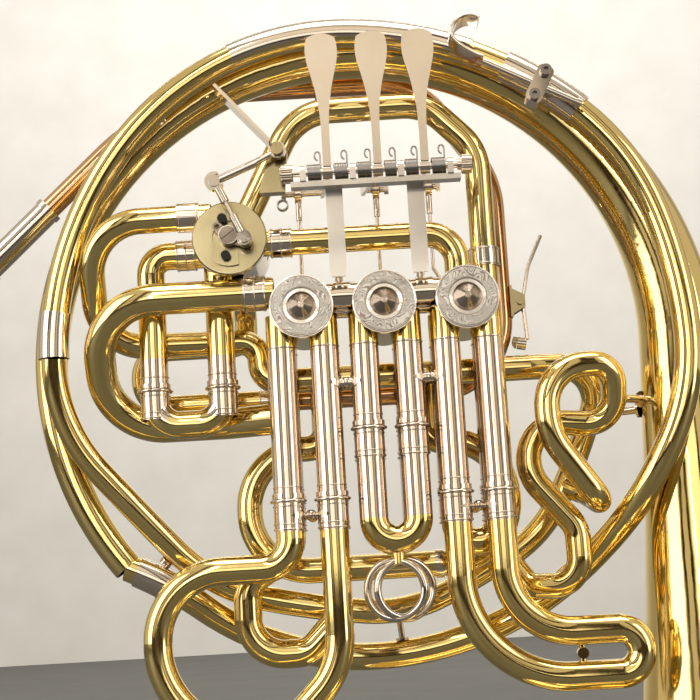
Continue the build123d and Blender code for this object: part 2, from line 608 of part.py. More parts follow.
KNEE_TOP = 374.0
KNEE_FOOT = 364.0
for number, (x, rod_x) in enumerate(zip(VALVE_X, ROD_X), start=1):
    pin_x = x + PIN_X
    pin_z = VALVE_Z + PIN_Z
    with BuildPart() as link:
        rod((rod_x - 1.6, ROD_Y, EYE_Z), (rod_x + 1.6, ROD_Y, EYE_Z), EYE_BALL + EYE_CLEARANCE + 1.6)
        rod((rod_x, ROD_Y, EYE_Z - 3.6), (rod_x, ROD_Y, EYE_Z - 14), 1.5)
        rod((rod_x, ROD_Y, EYE_Z - 13), (rod_x, ROD_Y, KNEE_TOP), 0.9)
        with Locations((rod_x, ROD_Y, KNEE_TOP), (pin_x, ROD_Y, KNEE_FOOT)):
            Sphere(0.9)
        rod((rod_x, ROD_Y, KNEE_TOP), (pin_x, ROD_Y, KNEE_FOOT), 0.9)
        rod((pin_x, ROD_Y, KNEE_FOOT), (pin_x, ROD_Y, pin_z + 2.2), 1.3)
        drum(pin_x, pin_z, 3.2, ROD_Y - 1.4, ROD_Y + 1.4)
        drum(pin_x, pin_z, 1.45, ROD_Y - 3, ROD_Y + 3, Mode.SUBTRACT)
        rod((rod_x - 5, ROD_Y, EYE_Z), (rod_x + 5, ROD_Y, EYE_Z), EYE_BALL + EYE_CLEARANCE, Mode.SUBTRACT)
    save(link.part, f"link_{number}")

# ---------------------------------------------------------------- plumbing on the valves
LINK_TUBE = 12.6
LEVEL = 382.0
with BuildPart() as arch_tube:
    tube([(-206.5, -22, 399), (-181, -22, 448), (-118, -22, 448.5), (-94.5, -22, 424), (-94.5, -22, 352)],
         [28, 26, 26], LINK_TUBE)
    clear_valves()
    clear_change_valve()
save(arch_tube.part, "arch_tube")

with BuildPart() as crossover_tube:
    tube([(-200, FRONT_Y, LEVEL), (-108, FRONT_Y, LEVEL), (-108, FRONT_Y, 358)], [14], 12.4)
    clear_valves()
    clear_change_valve()
save(crossover_tube.part, "crossover_tube")

with BuildPart() as upper_left_tube:
    tube([(-224, -28, 397), (-284, -26, 397), (-284, -2, 340.5), (-206, OVAL_Y, 340.5), (-206, OVAL_Y, 320),
          (-150, OVAL_Y, 320)], [26, 24, 9.6, 9.6], LINK_TUBE)
    clear_valves()
    clear_change_valve()
save(upper_left_tube.part, "upper_left_tube")

with BuildPart() as elbow_tube:
    tube([(-228, LEFT_U_Y, LEVEL), (LEFT_U_X[0], LEFT_U_Y, LEVEL), (LEFT_U_X[0], LEFT_U_Y, 344)],
         [9], SLEEVE_OUTER)
    tube([(LEFT_U_X[1], LEFT_U_Y, 376), (LEFT_U_X[1], LEFT_U_Y, 344)], None, SLEEVE_OUTER)
    clear_valves()
    clear_change_valve()
save(elbow_tube.part, "elbow_tube")

MAIN_OUTER = 15.2
MAIN_TOP = 358.0
MAIN_LOW = 300.2
MAIN_LOW_Y = 2.2
with BuildPart() as front_main_tube:
    tube([(-196, FRONT_Y, MAIN_TOP), (-281.8, FRONT_Y, MAIN_TOP), (-281.8, MAIN_LOW_Y, MAIN_LOW),
          (-222, MAIN_LOW_Y, MAIN_LOW), (FIRST_X[0], REAR_Y, MAIN_LOW)], [29, 29, 14], MAIN_OUTER)
    clear_valves()
    clear_change_valve()
    rod((FIRST_X[0], REAR_Y, MAIN_LOW - 20), (FIRST_X[0], REAR_Y, MAIN_LOW + 20), SLEEVE_OUTER / 2 + 0.02,
        Mode.SUBTRACT)
save(front_main_tube.part, "front_main_tube")

with BuildPart() as oval_branch:
    tube([(-176, OVAL_Y, 314), (-176, OVAL_Y, 286), (-214.5, OVAL_Y, 286), (-214.5, OVAL_Y, 227),
          (-88.5, OVAL_Y, 227), (-88.5, OVAL_Y, 286), (-127, OVAL_Y, 286), (-127, OVAL_Y, 314)],
         [9, 28, 29, 29, 28, 9], LINK_TUBE)
save(oval_branch.part, "oval_branch")

with BuildPart() as right_bow_front:
    tube([(-58, 20, 262), (-50, 10, 257), (-47, -22, 250), (-70.6, -28, 283), (-70.6, -28, 315),
          (-37, -22, 316.5), (-37, -12, 287.5), (-79.2, -12, 291.5), (-79.2, -12, 265), (-58.7, -12, 239.8),
          (-58.7, -12, 212.5), (-82, -4, 213.5), (-97, 7.5, 235)],
         [5, 9, 30, 20, 11, 13, 17, 20, 14, 13, 8], 12.2)
    tube([(-140, OVAL_Y, 227), (-88.5, OVAL_Y, 227), (-88.5, OVAL_Y, 286)], [29], LINK_TUBE, 0, Mode.SUBTRACT)
    inner_core = arc_route(RING_CENTRE, INNER_TURN[:3])
    with BuildSketch(Plane(origin=inner_core @ 0, z_dir=inner_core % 0)) as core_section:
        Circle(INNER_BRANCH / 2)
    sweep(core_section.sketch, path=inner_core, mode=Mode.SUBTRACT)
save(right_bow_front.part, "right_bow_front")

with BuildPart() as right_bow_rear:
    tube([(-149.8, OVAL_Y, 320), (-70, OVAL_Y, 320), (-33, 12, 320), (-46, 19, 290)], [40, 18], LINK_TUBE)
save(right_bow_rear.part, "right_bow_rear")

# ---------------------------------------------------------------- slides
SLEEVE_TOP = 346.0
FIRST_FOOT = 260.0
SECOND_FOOT = 292.0
SIDE_FOOT = 317.0
STOP_RING = 2.2
with BuildPart() as slide_sleeves:
    for legs, foot in ((FIRST_X, FIRST_FOOT), (SECOND_X, SECOND_FOOT), (THIRD_X, FIRST_FOOT)):
        for x in legs:
            for y in (FRONT_Y, REAR_Y):
                ring((x, y, SLEEVE_TOP), (x, y, foot), SLEEVE_BORE / 2, SLEEVE_OUTER / 2)
                ring((x, y, foot + STOP_RING), (x, y, foot), SLEEVE_BORE / 2, SLEEVE_OUTER / 2 + 0.8)
    for x in LEFT_U_X:
        ring((x, LEFT_U_Y, 344), (x, LEFT_U_Y, SIDE_FOOT), SLEEVE_BORE / 2, SLEEVE_OUTER / 2)
        ring((x, LEFT_U_Y, SIDE_FOOT + STOP_RING), (x, LEFT_U_Y, SIDE_FOOT),
             SLEEVE_BORE / 2, SLEEVE_OUTER / 2 + 0.8)
    clear_valves()
save(slide_sleeves.part, "slide_sleeves")


def slide(name, y, foot, engage, points, bends, brace_z=None, extra=None):
    """A pull-out slide: two thin legs inside the sleeves, a collar on each and the bow below."""
    with BuildPart() as piece:
        tube([(px, y, pz) for px, pz in points], bends, BOW_OUTER, (BOW_OUTER - BOW_BORE) / 2)
        for x in (points[0][0], points[-1][0]):
            ring((x, y, foot + engage), (x, y, foot - 6), BOW_BORE / 2, SLIDE_OUTER / 2)
            ring((x, y, foot - 0.3), (x, y, foot - 15), BOW_OUTER / 2 - 0.1, SLEEVE_OUTER / 2 + 0.35)
        if brace_z:
            left, right = sorted((points[0][0], points[-1][0]))
            middle = (left + right) / 2
            rod((left + 6.9, y, brace_z), (right - 6.9, y, brace_z), 1.3)
            with Locations(Location((middle, y, brace_z), POLES_ALONG_X)):
                Sphere(2.6)
        if extra:
            extra(y)
    save(piece.part, name)


LEG_GAP = 0.3
PULL_RING_Z = 215.6


def pull_rings(y):
    """Two crossed finger rings under the second slide's bow."""
    middle = (SECOND_X[0] + SECOND_X[1]) / 2
    for turn, shift in ((-9, -2.2), (14, 2.2)):
        a = math.radians(turn)
        ring_plane = Plane(origin=(middle + shift, y + turn / 20, PULL_RING_Z),
                           x_dir=(math.cos(a), math.sin(a), 0), z_dir=(math.sin(a), -math.cos(a), 0))
        with BuildSketch(ring_plane) as hoop:
            Circle(14.6)
            Circle(12.0, mode=Mode.SUBTRACT)
        extrude(hoop.sketch, amount=1.3, both=True)
    rod((middle, y, 227.4), (middle, y, 232.6), 3.0)


def long_bow_stay(y):
    """A ball stay between the two long runs of the third slide's bow."""
    rod((-63, y, 178.6), (-63, y, 185.8), 1.4)
    drum(-63, 182.2, 2.6, y - 2, y + 2)


BOW_TOP = FIRST_FOOT - LEG_GAP
for name, y, points, bends in (
    ("first_slide_front", FRONT_Y,
     [(FIRST_X[0], BOW_TOP), (FIRST_X[0], 228.5), (-257, 228.5), (-257, 155), (-200, 155), (FIRST_X[1], 182),
      (FIRST_X[1], BOW_TOP)], [13, 31, 41, 36, 36]),
    ("first_slide_rear", REAR_Y,
     [(FIRST_X[0], BOW_TOP), (FIRST_X[0], 236), (-216.5, 222), (-216.5, 188.5), (-189, 188.5),
      (FIRST_X[1], 204), (FIRST_X[1], BOW_TOP)], [14, 13, 17, 13, 13]),
    ("third_slide_front", FRONT_Y,
     [(THIRD_X[0], BOW_TOP), (THIRD_X[0], 172), (-36, 172), (-36, 192.4), (THIRD_X[1], 192.4),
      (THIRD_X[1], BOW_TOP)], [48, 10, 10, 30]),
    ("third_slide_rear", REAR_Y,
     [(THIRD_X[0], BOW_TOP), (THIRD_X[0], 236), (THIRD_X[1], 236), (THIRD_X[1], BOW_TOP)], [10.1, 10.1]),
):
    slide(name, y, FIRST_FOOT, 50, points, bends, 252, long_bow_stay if name == "third_slide_front" else None)

for name, y, extra in (("second_slide_front", FRONT_Y, pull_rings), ("second_slide_rear", REAR_Y, None)):
    top = SECOND_FOOT - LEG_GAP
    floor = 238.4
    slide(name, y, SECOND_FOOT, 36, [(SECOND_X[0], top), (SECOND_X[0], floor), (SECOND_X[1], floor),
                                     (SECOND_X[1], top)], [10.2, 10.2], None, extra)

SIDE_FLOOR = 299.0
side_top = SIDE_FOOT - LEG_GAP
slide("left_slide", LEFT_U_Y, SIDE_FOOT, 12, [(LEFT_U_X[0], side_top), (LEFT_U_X[0], SIDE_FLOOR),
                                              (LEFT_U_X[1], SIDE_FLOOR), (LEFT_U_X[1], side_top)], [12, 12])

# ---------------------------------------------------------------- ferrules and braces
with BuildPart() as tube_ferrules:
    for left, right, y, z, inner in (
        (-210.5, -199.5, FRONT_Y, MAIN_TOP, MAIN_OUTER / 2),
        (-196.5, -186, FRONT_Y, LEVEL, 6.2),
        (-243, -233, -13, LEVEL, 6.8),
        (PIPE_END_X, PIPE_END_X + 9, PIPE_Y, PIPE_Z, PIPE_OUTER / 2),
        (-126, -122, OVAL_Y, 227, LINK_TUBE / 2),
    ):
        ring((left, y, z), (right, y, z), inner, inner + 0.8)
    ring((-94.5, -22, 366), (-94.5, -22, 375), LINK_TUBE / 2, LINK_TUBE / 2 + 0.8)
    for start, end in ((0.0, 0.026), (0.970, 0.994)):
        collar_path = arc_route(RING_CENTRE, OUTER_TURN).trim(start, end)
        with BuildSketch(Plane(origin=collar_path @ 0, z_dir=collar_path % 0)) as collar:
            Circle(OUTER_BRANCH / 2 + 0.85)
            Circle(OUTER_BRANCH / 2 + 0.02, mode=Mode.SUBTRACT)
        sweep(collar.sketch, path=collar_path)
save(tube_ferrules.part, "tube_ferrules")

BRACE = 1.5


def brace(start, end, radius=BRACE, ball=0.0):
    """A soldered stay between two tubes, with an optional ball at its middle and a foot at each end."""
    start = Vector(*start)
    end = Vector(*end)
    way = (end - start).normalized()
    rod(start, end, radius)
    rod(start, start + way * 1.2, radius * 2)
    rod(end - way * 1.2, end, radius * 2)
    if ball:
        with Locations(Location((start + end) / 2, POLES_ALONG_X)):
            Sphere(ball)


with BuildPart() as valve_knuckles:
    for left, right in zip(VALVE_X, VALVE_X[1:]):
        for y in (FRONT_Y, REAR_Y):
            tube([(left, y, 354.5), (right, y, 354.5)], None, 12.8)
            ring(((left + right) / 2 - 4, y, 354.5), ((left + right) / 2 + 4, y, 354.5), 6.3, 7.0)
    clear_valves()
save(valve_knuckles.part, "valve_knuckles")


def ring_point(radius, angle, y):
    a = math.radians(angle)
    return (RING_CENTRE[0] + radius * math.cos(a), y, RING_CENTRE[1] + radius * math.sin(a))


def tail_point(radius, angle, y=0.0):
    a = math.radians(angle)
    return (TAIL_CENTRE_X + radius * math.cos(a), y, BELL_HEIGHT + radius * math.sin(a))


with BuildPart() as tube_braces:
    brace((FIRST_X[1] + 6.6, FRONT_Y, 313), (SECOND_X[0] - 6.6, FRONT_Y, 313), 1.4, 2.8)
    brace((SECOND_X[1] + 6.6, FRONT_Y, 313.4), (THIRD_X[0] - 6.6, FRONT_Y, 313.4), 1.4, 2.8)
    brace(ring_point(138.6, 225, 1.0), ring_point(141.2, 225, 2.0))
    brace(ring_point(133.4, 275, 8), ring_point(143.2, 275, 8))
    for angle, radius, y in ((160, 149.5, -18.0), (128, 152.0, -19.2), (78, 153.7, -21.5),
                             (40, 154.5, -25.2)):
        tail_face = tail_outer(1 - angle / TAIL_END_ANGLE) / 2
        brace(ring_point(radius, angle, y + OUTER_BRANCH / 2 - 0.2),
              tail_point(TAIL_RADIUS, angle, 0.3 - tail_face))
    brace((-33.4, -11.8, 300), (-20.6, -2, 300), 2.0)
    brace((-38, 16, 296), (-20.8, 6, 296), 2.0)
    brace((-97, 6, 291), (-97, 16, 307), 1.6)
    brace((-170, LINK_TUBE / 2 - 28, 450), (-170, -8, 468))
save(tube_braces.part, "tube_braces")

# ---------------------------------------------------------------- main tuning slide
TUNE_UPPER_Z = 341.0
TUNE_SLEEVE_END = -232.0
with BuildPart() as tuning_return:
    ring((PIPE_END_X, PIPE_Y, PIPE_Z), (TUNE_SLEEVE_END, PIPE_Y, PIPE_Z), 5.05, 5.75)
    ring((-221, PIPE_Y, TUNE_UPPER_Z), (TUNE_SLEEVE_END, PIPE_Y, TUNE_UPPER_Z), 5.05, 5.75)
    tube([(-221, PIPE_Y, TUNE_UPPER_Z), (-213, PIPE_Y, TUNE_UPPER_Z), (-213, PIPE_Y, 361.5),
          (-213, -4, 361.5)], [7.5, 10], 11.5)
    clear_change_valve()
save(tuning_return.part, "tuning_return")

with BuildPart() as tuning_slide:
    start = TUNE_SLEEVE_END - LEG_GAP
    tube([(start, PIPE_Y, PIPE_Z), (-266, PIPE_Y, PIPE_Z), (-266, PIPE_Y, TUNE_UPPER_Z),
          (start, PIPE_Y, TUNE_UPPER_Z)], [14, 14], 11.5, 1.2)
    ring((start + 9, PIPE_Y, PIPE_Z), (start - 4, PIPE_Y, PIPE_Z), 4.5, 5.0)
    ring((start + 9, PIPE_Y, TUNE_UPPER_Z), (start - 4, PIPE_Y, TUNE_UPPER_Z), 4.5, 5.0)
save(tuning_slide.part, "tuning_slide")

# ---------------------------------------------------------------- hand guard on the outer branch
GUARD_INNER = OUTER_BRANCH / 2 + 0.05
with BuildPart() as hand_guard:
    guard_path = arc_route(RING_CENTRE, OUTER_TURN).trim(0.212, 0.352)
    with BuildSketch(Plane(origin=guard_path @ 0, x_dir=(0, 1, 0), z_dir=guard_path % 0)) as shell:
        with BuildLine():
            outer_arc = CenterArc((0, 0), GUARD_INNER + 0.7, 20, 190)
            inner_arc = CenterArc((0, 0), GUARD_INNER, 20, 190)
            Line(outer_arc @ 0, inner_arc @ 0)
            Line(outer_arc @ 1, inner_arc @ 1)
        make_face()
    sweep(shell.sketch, path=guard_path)
save(hand_guard.part, "hand_guard")

# ---------------------------------------------------------------- little-finger hook
HOOK_Y = -39.0
HOOK_FROM = Vector(-87.8, HOOK_Y, 461.7)
HOOK_TO = Vector(-46.3, HOOK_Y, 439.7)
hook_way = (HOOK_TO - HOOK_FROM).normalized()
hook_side = Vector(-hook_way.Z, 0, hook_way.X)
HOOK_RADIUS = 1.95
clamp_middle = HOOK_FROM + hook_way * 27
with BuildPart() as hook_clamp:
    with BuildSketch(Plane(origin=(clamp_middle.X, -42.6, clamp_middle.Z), x_dir=hook_way, z_dir=(0, 1, 0))):
        RectangleRounded(8, 19, 2.4)
    extrude(amount=9.4)
    saddle_route = arc_route(RING_CENTRE, OUTER_TURN).trim(0.374, 0.424)
    with BuildSketch(Plane(origin=saddle_route @ 0, x_dir=(0, 1, 0), z_dir=saddle_route % 0)) as saddle:
        with BuildLine():
            saddle_outer = CenterArc((0, 0), OUTER_BRANCH / 2 + 1.4, 100, 160)
            saddle_inner = CenterArc((0, 0), OUTER_BRANCH / 2 + 0.05, 100, 160)
            Line(saddle_outer @ 0, saddle_inner @ 0)
            Line(saddle_outer @ 1, saddle_inner @ 1)
        make_face()
    sweep(saddle.sketch, path=saddle_route)
    rod(HOOK_FROM, HOOK_TO, HOOK_RADIUS + RUNNING_GAP, Mode.SUBTRACT)
save(hook_clamp.part, "hook_clamp")

SCREW_REACH = 6.6
with BuildPart() as clamp_screws:
    for side in (-1, 1):
        spot = clamp_middle + hook_side * (side * SCREW_REACH)
        drum(spot.X, spot.Z, 2.7, -45.8, -42.62)
        with BuildSketch(Plane(origin=(spot.X, -45.8, spot.Z), z_dir=(0, -1, 0))):
            RegularPolygon(1.4, 6)
        extrude(amount=-1.8, mode=Mode.SUBTRACT)
save(clamp_screws.part, "clamp_screws")

HOOK_CURL = ((-90.0, 463.0), (-100.5, 469.6), (-104.6, 476.6), (-100.0, 482.8), (-90.8, 482.4))
with BuildPart() as finger_hook:
    rod(HOOK_FROM, HOOK_TO, HOOK_RADIUS)
    rod(HOOK_TO - hook_way * 0.5, HOOK_TO + hook_way * 2, HOOK_RADIUS + 0.5)
    rod(HOOK_FROM - hook_way * 5, HOOK_FROM + hook_way, HOOK_RADIUS - 0.2)
    with BuildLine() as curl:
        Spline(*[(x, HOOK_Y, z) for x, z in HOOK_CURL])
    with BuildSketch(Plane(origin=curl.line @ 0, x_dir=(0, 1, 0), z_dir=curl.line % 0)) as blade:
        RectangleRounded(14.5, 1.7, 0.8)
    sweep(blade.sketch, path=curl.line)
save(finger_hook.part, "finger_hook")

# ---------------------------------------------------------------- water key on the leadpipe's bend
KEY_PIVOT = (-74.6, 355.0)
KEY_Y = PIPE_Y
with BuildPart() as water_key_saddle:
    for side in (-1, 1):
        y = KEY_Y + side * 4.0
        with BuildSketch(Plane(origin=(0, y - 0.7, 0), x_dir=(1, 0, 0), z_dir=(0, 1, 0))):
            with BuildLine():
                Polyline((-79.0, -362.0), (KEY_PIVOT[0] + 2.6, -358.0), (KEY_PIVOT[0] + 2.6, -352.2),
                         (-79.4, -348.0), close=True)
            make_face()
        extrude(amount=1.4)
    rod((KEY_PIVOT[0], KEY_Y - 5.6, KEY_PIVOT[1]), (KEY_PIVOT[0], KEY_Y + 5.6, KEY_PIVOT[1]), 1.0)
    rod((KEY_PIVOT[0], KEY_Y - 6.6, KEY_PIVOT[1]), (KEY_PIVOT[0], KEY_Y - 5.0, KEY_PIVOT[1]), 2.0)
    with BuildSketch(Plane(origin=(-79.6, KEY_Y, 355), z_dir=(1, 0, 0))):
        Rectangle(16, 12)
    extrude(amount=1.2)
    rod((-82.0, KEY_Y, 335.6), (-77.4, KEY_Y, 334.4), 3.0)
    rod((-84, KEY_Y, 325), (-84, KEY_Y, 375), PIPE_OUTER / 2, Mode.SUBTRACT)
save(water_key_saddle.part, "water_key_saddle")

with BuildPart() as water_key:
    rod((KEY_PIVOT[0], KEY_Y - 2.6, KEY_PIVOT[1]), (KEY_PIVOT[0], KEY_Y + 2.6, KEY_PIVOT[1]), 2.4)
    with BuildLine() as key_route:
        FilletPolyline((-61.4, KEY_Y, 388.6), (-69.0, KEY_Y, 373.0),
                       (KEY_PIVOT[0] + 1.6, KEY_Y, KEY_PIVOT[1] + 1), (-72.0, KEY_Y, 336.0), radius=[20, 12])
    with BuildSketch(Plane(origin=key_route.line @ 0, x_dir=(0, 1, 0), z_dir=key_route.line % 0)):
        RectangleRounded(4.6, 1.8, 0.5)
    sweep(path=key_route.line)
    rod((-72.8, KEY_Y, 333.6), (-77.2, KEY_Y, 334.4), 3.2)
    rod((KEY_PIVOT[0], KEY_Y - 8, KEY_PIVOT[1]), (KEY_PIVOT[0], KEY_Y + 8, KEY_PIVOT[1]), 1.05, Mode.SUBTRACT)
save(water_key.part, "water_key")
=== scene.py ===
import json
import math

import bmesh
import bpy
from mathutils import Matrix, Vector


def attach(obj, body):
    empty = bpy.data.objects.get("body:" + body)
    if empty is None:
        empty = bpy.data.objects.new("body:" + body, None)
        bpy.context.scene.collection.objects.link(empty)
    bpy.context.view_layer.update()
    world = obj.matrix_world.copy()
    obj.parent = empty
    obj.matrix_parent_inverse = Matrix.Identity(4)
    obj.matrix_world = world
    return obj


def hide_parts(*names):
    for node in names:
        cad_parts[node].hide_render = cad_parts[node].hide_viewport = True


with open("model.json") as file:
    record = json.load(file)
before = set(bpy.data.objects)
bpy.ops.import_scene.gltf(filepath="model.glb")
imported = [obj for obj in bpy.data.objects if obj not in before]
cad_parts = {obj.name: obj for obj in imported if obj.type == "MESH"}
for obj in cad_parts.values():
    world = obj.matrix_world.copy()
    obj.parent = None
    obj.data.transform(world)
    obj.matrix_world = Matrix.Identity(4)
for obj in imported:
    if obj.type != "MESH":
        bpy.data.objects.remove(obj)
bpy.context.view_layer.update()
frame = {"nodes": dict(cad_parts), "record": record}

# ---------------------------------------------------------------- driving dimensions, metres
VALVE_PITCH = 0.039
VALVE_X = (-0.183, -0.144, -0.105)
VALVE_Z = 0.349
FRONT_Y = -0.028
REAR_Y = -0.008
COLLAR_RADIUS = 0.00715
SLEEVE_RADIUS = 0.0068
STOP_LIP = 0.0007
BOW_REACH = 0.0088
CONE_RADIUS = 0.0070
ENGRAVED_RING = (0.0086, 0.0138)
CAP_LINES = (0.0140, 0.0089)
CAP_LINE_HALF = 0.00018
CHANGE_HUB = (-0.215, -0.0468, 0.383)
CHANGE_HUB_RADIUS = 0.0043
AXLE = Vector((0.0, -0.048, 0.410))

# each slide: the X of its two legs, its Y, and the height of its sleeves' feet
SLIDE_LEGS = {
    "first_slide_front": ((-0.1939, -0.1734), FRONT_Y, 0.260),
    "first_slide_rear": ((-0.1939, -0.1734), REAR_Y, 0.260),
    "second_slide_front": ((-0.1546, -0.1340), FRONT_Y, 0.292),
    "second_slide_rear": ((-0.1546, -0.1340), REAR_Y, 0.292),
    "third_slide_front": ((-0.1160, -0.0956), FRONT_Y, 0.260),
    "third_slide_rear": ((-0.1160, -0.0956), REAR_Y, 0.260),
    "left_slide": ((-0.2560, -0.2234), -0.013, 0.317),
}
# drop below the sleeve's foot and wire radius of the lines on a slide's collar
COLLAR_LINES = ((0.0036, 0.00035), (0.0118, 0.00035), (0.0142, 0.0005))
COLLAR_LIP_DROP = 0.0012
# heights where brass gives way to nickel on the slides, and nickel to brass on the sleeves
FIRST_SPLIT = 0.2448
SECOND_SPLIT = 0.2490
LEFT_SPLIT = 0.3018
KNEE_Z = 0.3312
PULL_RING_PLACE = (-0.1443, FRONT_Y, 0.2156)
PULL_RING_RADIUS = 0.0133
PULL_RING_WIRE = 0.00188
# ferrules on level tubes: left end, right end, Y, Z and outer radius
LEVEL_FERRULES = (
    (-0.2105, -0.1995, -0.028, 0.358, 0.0084),
    (-0.1965, -0.1860, -0.028, 0.382, 0.0070),
    (-0.2430, -0.2330, -0.013, 0.382, 0.0076),
    (-0.2080, -0.1990, 0.018, 0.312, 0.0062),
)
SPRING_SPANS = (
    (-0.1770, -0.1696), (-0.1644, -0.1570), (-0.1537, -0.1460),
    (-0.1408, -0.1343), (-0.1311, -0.1240), (-0.1188, -0.1112),
)
SPRING_RADIUS = 0.0036
SPRING_WIRE = 0.00042
SPRING_TURNS = 8

YELLOW_BRASS = ((0.96, 0.77, 0.33), (0.91, 0.68, 0.25))
ROSE_BRASS = ((0.86, 0.52, 0.28), (0.74, 0.40, 0.18))
NICKEL = ((0.88, 0.79, 0.69), (0.80, 0.69, 0.58))
WARM_NICKEL = ((0.82, 0.69, 0.56), (0.74, 0.60, 0.47))
SMOKED = ((0.60, 0.50, 0.42), (0.42, 0.34, 0.27))
PLATED = ((0.93, 0.88, 0.83), (0.86, 0.80, 0.74))
GOLD_BRASS = ((0.62, 0.53, 0.31), (0.52, 0.42, 0.22))
STEEL = ((0.56, 0.52, 0.48), (0.38, 0.35, 0.32))


# ---------------------------------------------------------------- shader helpers
class Shader:
    """A new material with its principled shader and short ways to add and join nodes."""

    def __init__(self, name):
        self.material = bpy.data.materials.new(name)
        self.material.use_nodes = True
        self.nodes = self.material.node_tree.nodes
        self.links = self.material.node_tree.links
        self.surface = self.nodes["Principled BSDF"]
        self.place = self.nodes.new("ShaderNodeTexCoord").outputs["Object"]

    def math(self, operation, first, second=None, third=None):
        node = self.nodes.new("ShaderNodeMath")
        node.operation = operation
        for socket, value in zip(node.inputs, (first, second, third)):
            if value is None:
                continue
            if isinstance(value, (int, float)):
                socket.default_value = value
            else:
                self.links.new(value, socket)
        return node.outputs[0]

    def noise(self, scale, detail=3.0, stretch=(1, 1, 1), distortion=0.0):
        mapping = self.nodes.new("ShaderNodeMapping")
        mapping.inputs["Scale"].default_value = stretch
        self.links.new(self.place, mapping.inputs["Vector"])
        node = self.nodes.new("ShaderNodeTexNoise")
        node.inputs["Scale"].default_value = scale
        node.inputs["Detail"].default_value = detail
        node.inputs["Distortion"].default_value = distortion
        self.links.new(mapping.outputs["Vector"], node.inputs["Vector"])
        return node.outputs["Fac"]

    def remap(self, value, low, high, start=0.3, end=0.7):
        node = self.nodes.new("ShaderNodeMapRange")
        node.inputs["From Min"].default_value = start
        node.inputs["From Max"].default_value = end
        node.inputs["To Min"].default_value = low
        node.inputs["To Max"].default_value = high
        self.links.new(value, node.inputs["Value"])
        return node.outputs["Result"]

    def blend(self, factor, first, second):
        node = self.nodes.new("ShaderNodeMix")
        node.data_type = "RGBA"
        self.links.new(factor, node.inputs["Factor"])
        for name, value in (("A", first), ("B", second)):
            socket = [s for s in node.inputs if s.name == name and s.type == "RGBA"][0]
            if isinstance(value, tuple):
                socket.default_value = (*value, 1)
            else:
                self.links.new(value, socket)
        return [s for s in node.outputs if s.type == "RGBA"][0]

    def axes(self):
        node = self.nodes.new("ShaderNodeSeparateXYZ")
        self.links.new(self.place, node.inputs[0])
        return node.outputs

    def bump(self, height, strength, distance):
        node = self.nodes.new("ShaderNodeBump")
        node.inputs["Strength"].default_value = strength
        node.inputs["Distance"].default_value = distance
        self.links.new(height, node.inputs["Height"])
        self.links.new(node.outputs["Normal"], self.surface.inputs["Normal"])

    def put(self, socket, value):
        if isinstance(value, (int, float)):
            self.surface.inputs[socket].default_value = value
        else:
            self.links.new(value, self.surface.inputs[socket])


def toned(shader, tones):
    """Cloudy colour variation between a metal's clean tone and its deeper, handled tone."""
    return shader.blend(shader.remap(shader.noise(14, 4), 0, 1), tones[0], tones[1])


def metal(name, tones, rough, lacquer=0.0, grain=None, split=None, upper=None, middle=None):
    """A polished metal, brushed where it has a grain.

    Above the split height the upper tones take over. With a middle, a bow between two legs keeps the
    lower tones for BOW_REACH on each side of that X.
    """
    shader = Shader(name)
    colour = toned(shader, tones)
    if split is not None:
        above = shader.math("GREATER_THAN", shader.axes()["Z"], split)
        if middle is not None:
            away = shader.math("ABSOLUTE", shader.math("SUBTRACT", shader.axes()["X"], middle))
            above = shader.math("MULTIPLY", above, shader.math("GREATER_THAN", away, BOW_REACH))
        colour = shader.blend(above, colour, toned(shader, upper or WARM_NICKEL))
    shader.put("Base Color", colour)
    shader.put("Metallic", 1.0)
    smears = shader.noise(55, 5)
    shader.put("Roughness", shader.remap(smears, rough[0], rough[1]))
    if lacquer:
        shader.put("Coat Weight", lacquer)
        shader.put("Coat Roughness", 0.04)
    if grain:
        shader.bump(shader.noise(1, 3, grain), 0.25, 0.00006)
    else:
        shader.bump(shader.noise(38, 2), 0.04, 0.0004)
    return shader.material


def engraved_cap():
    """Valve cap: a frosted ring cut with curling scrolls round a bright turned cone."""
    shader = Shader("engraved_nickel")
    x, y, z = shader.axes()
    offset = shader.math("SUBTRACT", x, VALVE_X[1])
    across = shader.math("WRAP", offset, VALVE_PITCH / 2, -VALVE_PITCH / 2)
    up = shader.math("SUBTRACT", z, VALVE_Z)
    squares = shader.math("ADD", shader.math("POWER", across, 2), shader.math("POWER", up, 2))
    radius = shader.math("SQRT", squares)
    ring = shader.math("MULTIPLY", shader.math("GREATER_THAN", radius, ENGRAVED_RING[0]),
                       shader.math("LESS_THAN", radius, ENGRAVED_RING[1]))
    curls = shader.noise(150, 0.0, (1, 1, 1), distortion=1.4)
    wave = shader.math("ABSOLUTE", shader.math("SINE", shader.math("MULTIPLY", curls, 38)))
    stroke = shader.remap(wave, 1.0, 0.0, 0.35, 0.65)
    turned_lines = []
    for line_radius in CAP_LINES:
        away = shader.math("ABSOLUTE", shader.math("SUBTRACT", radius, line_radius))
        turned_lines.append(shader.math("LESS_THAN", away, CAP_LINE_HALF))
    lines = shader.math("ADD", turned_lines[0], turned_lines[1])
    cut = shader.math("MINIMUM", shader.math("ADD", shader.math("MULTIPLY", stroke, ring), lines), 1)
    cone = shader.math("LESS_THAN", radius, CONE_RADIUS)
    face = shader.blend(cone, toned(shader, PLATED), toned(shader, SMOKED))
    shader.put("Base Color", shader.blend(shader.math("MULTIPLY", cut, 0.8), face, (0.30, 0.24, 0.18)))
    shader.put("Metallic", 1.0)
    shader.put("Roughness", shader.remap(ring, 0.10, 0.34, 0, 1))
    turned = shader.math("MULTIPLY", shader.math("SINE", shader.math("MULTIPLY", radius, 26000)), 0.04)
    shader.bump(shader.math("SUBTRACT", turned, cut), 0.7, 0.00022)
    return shader.material


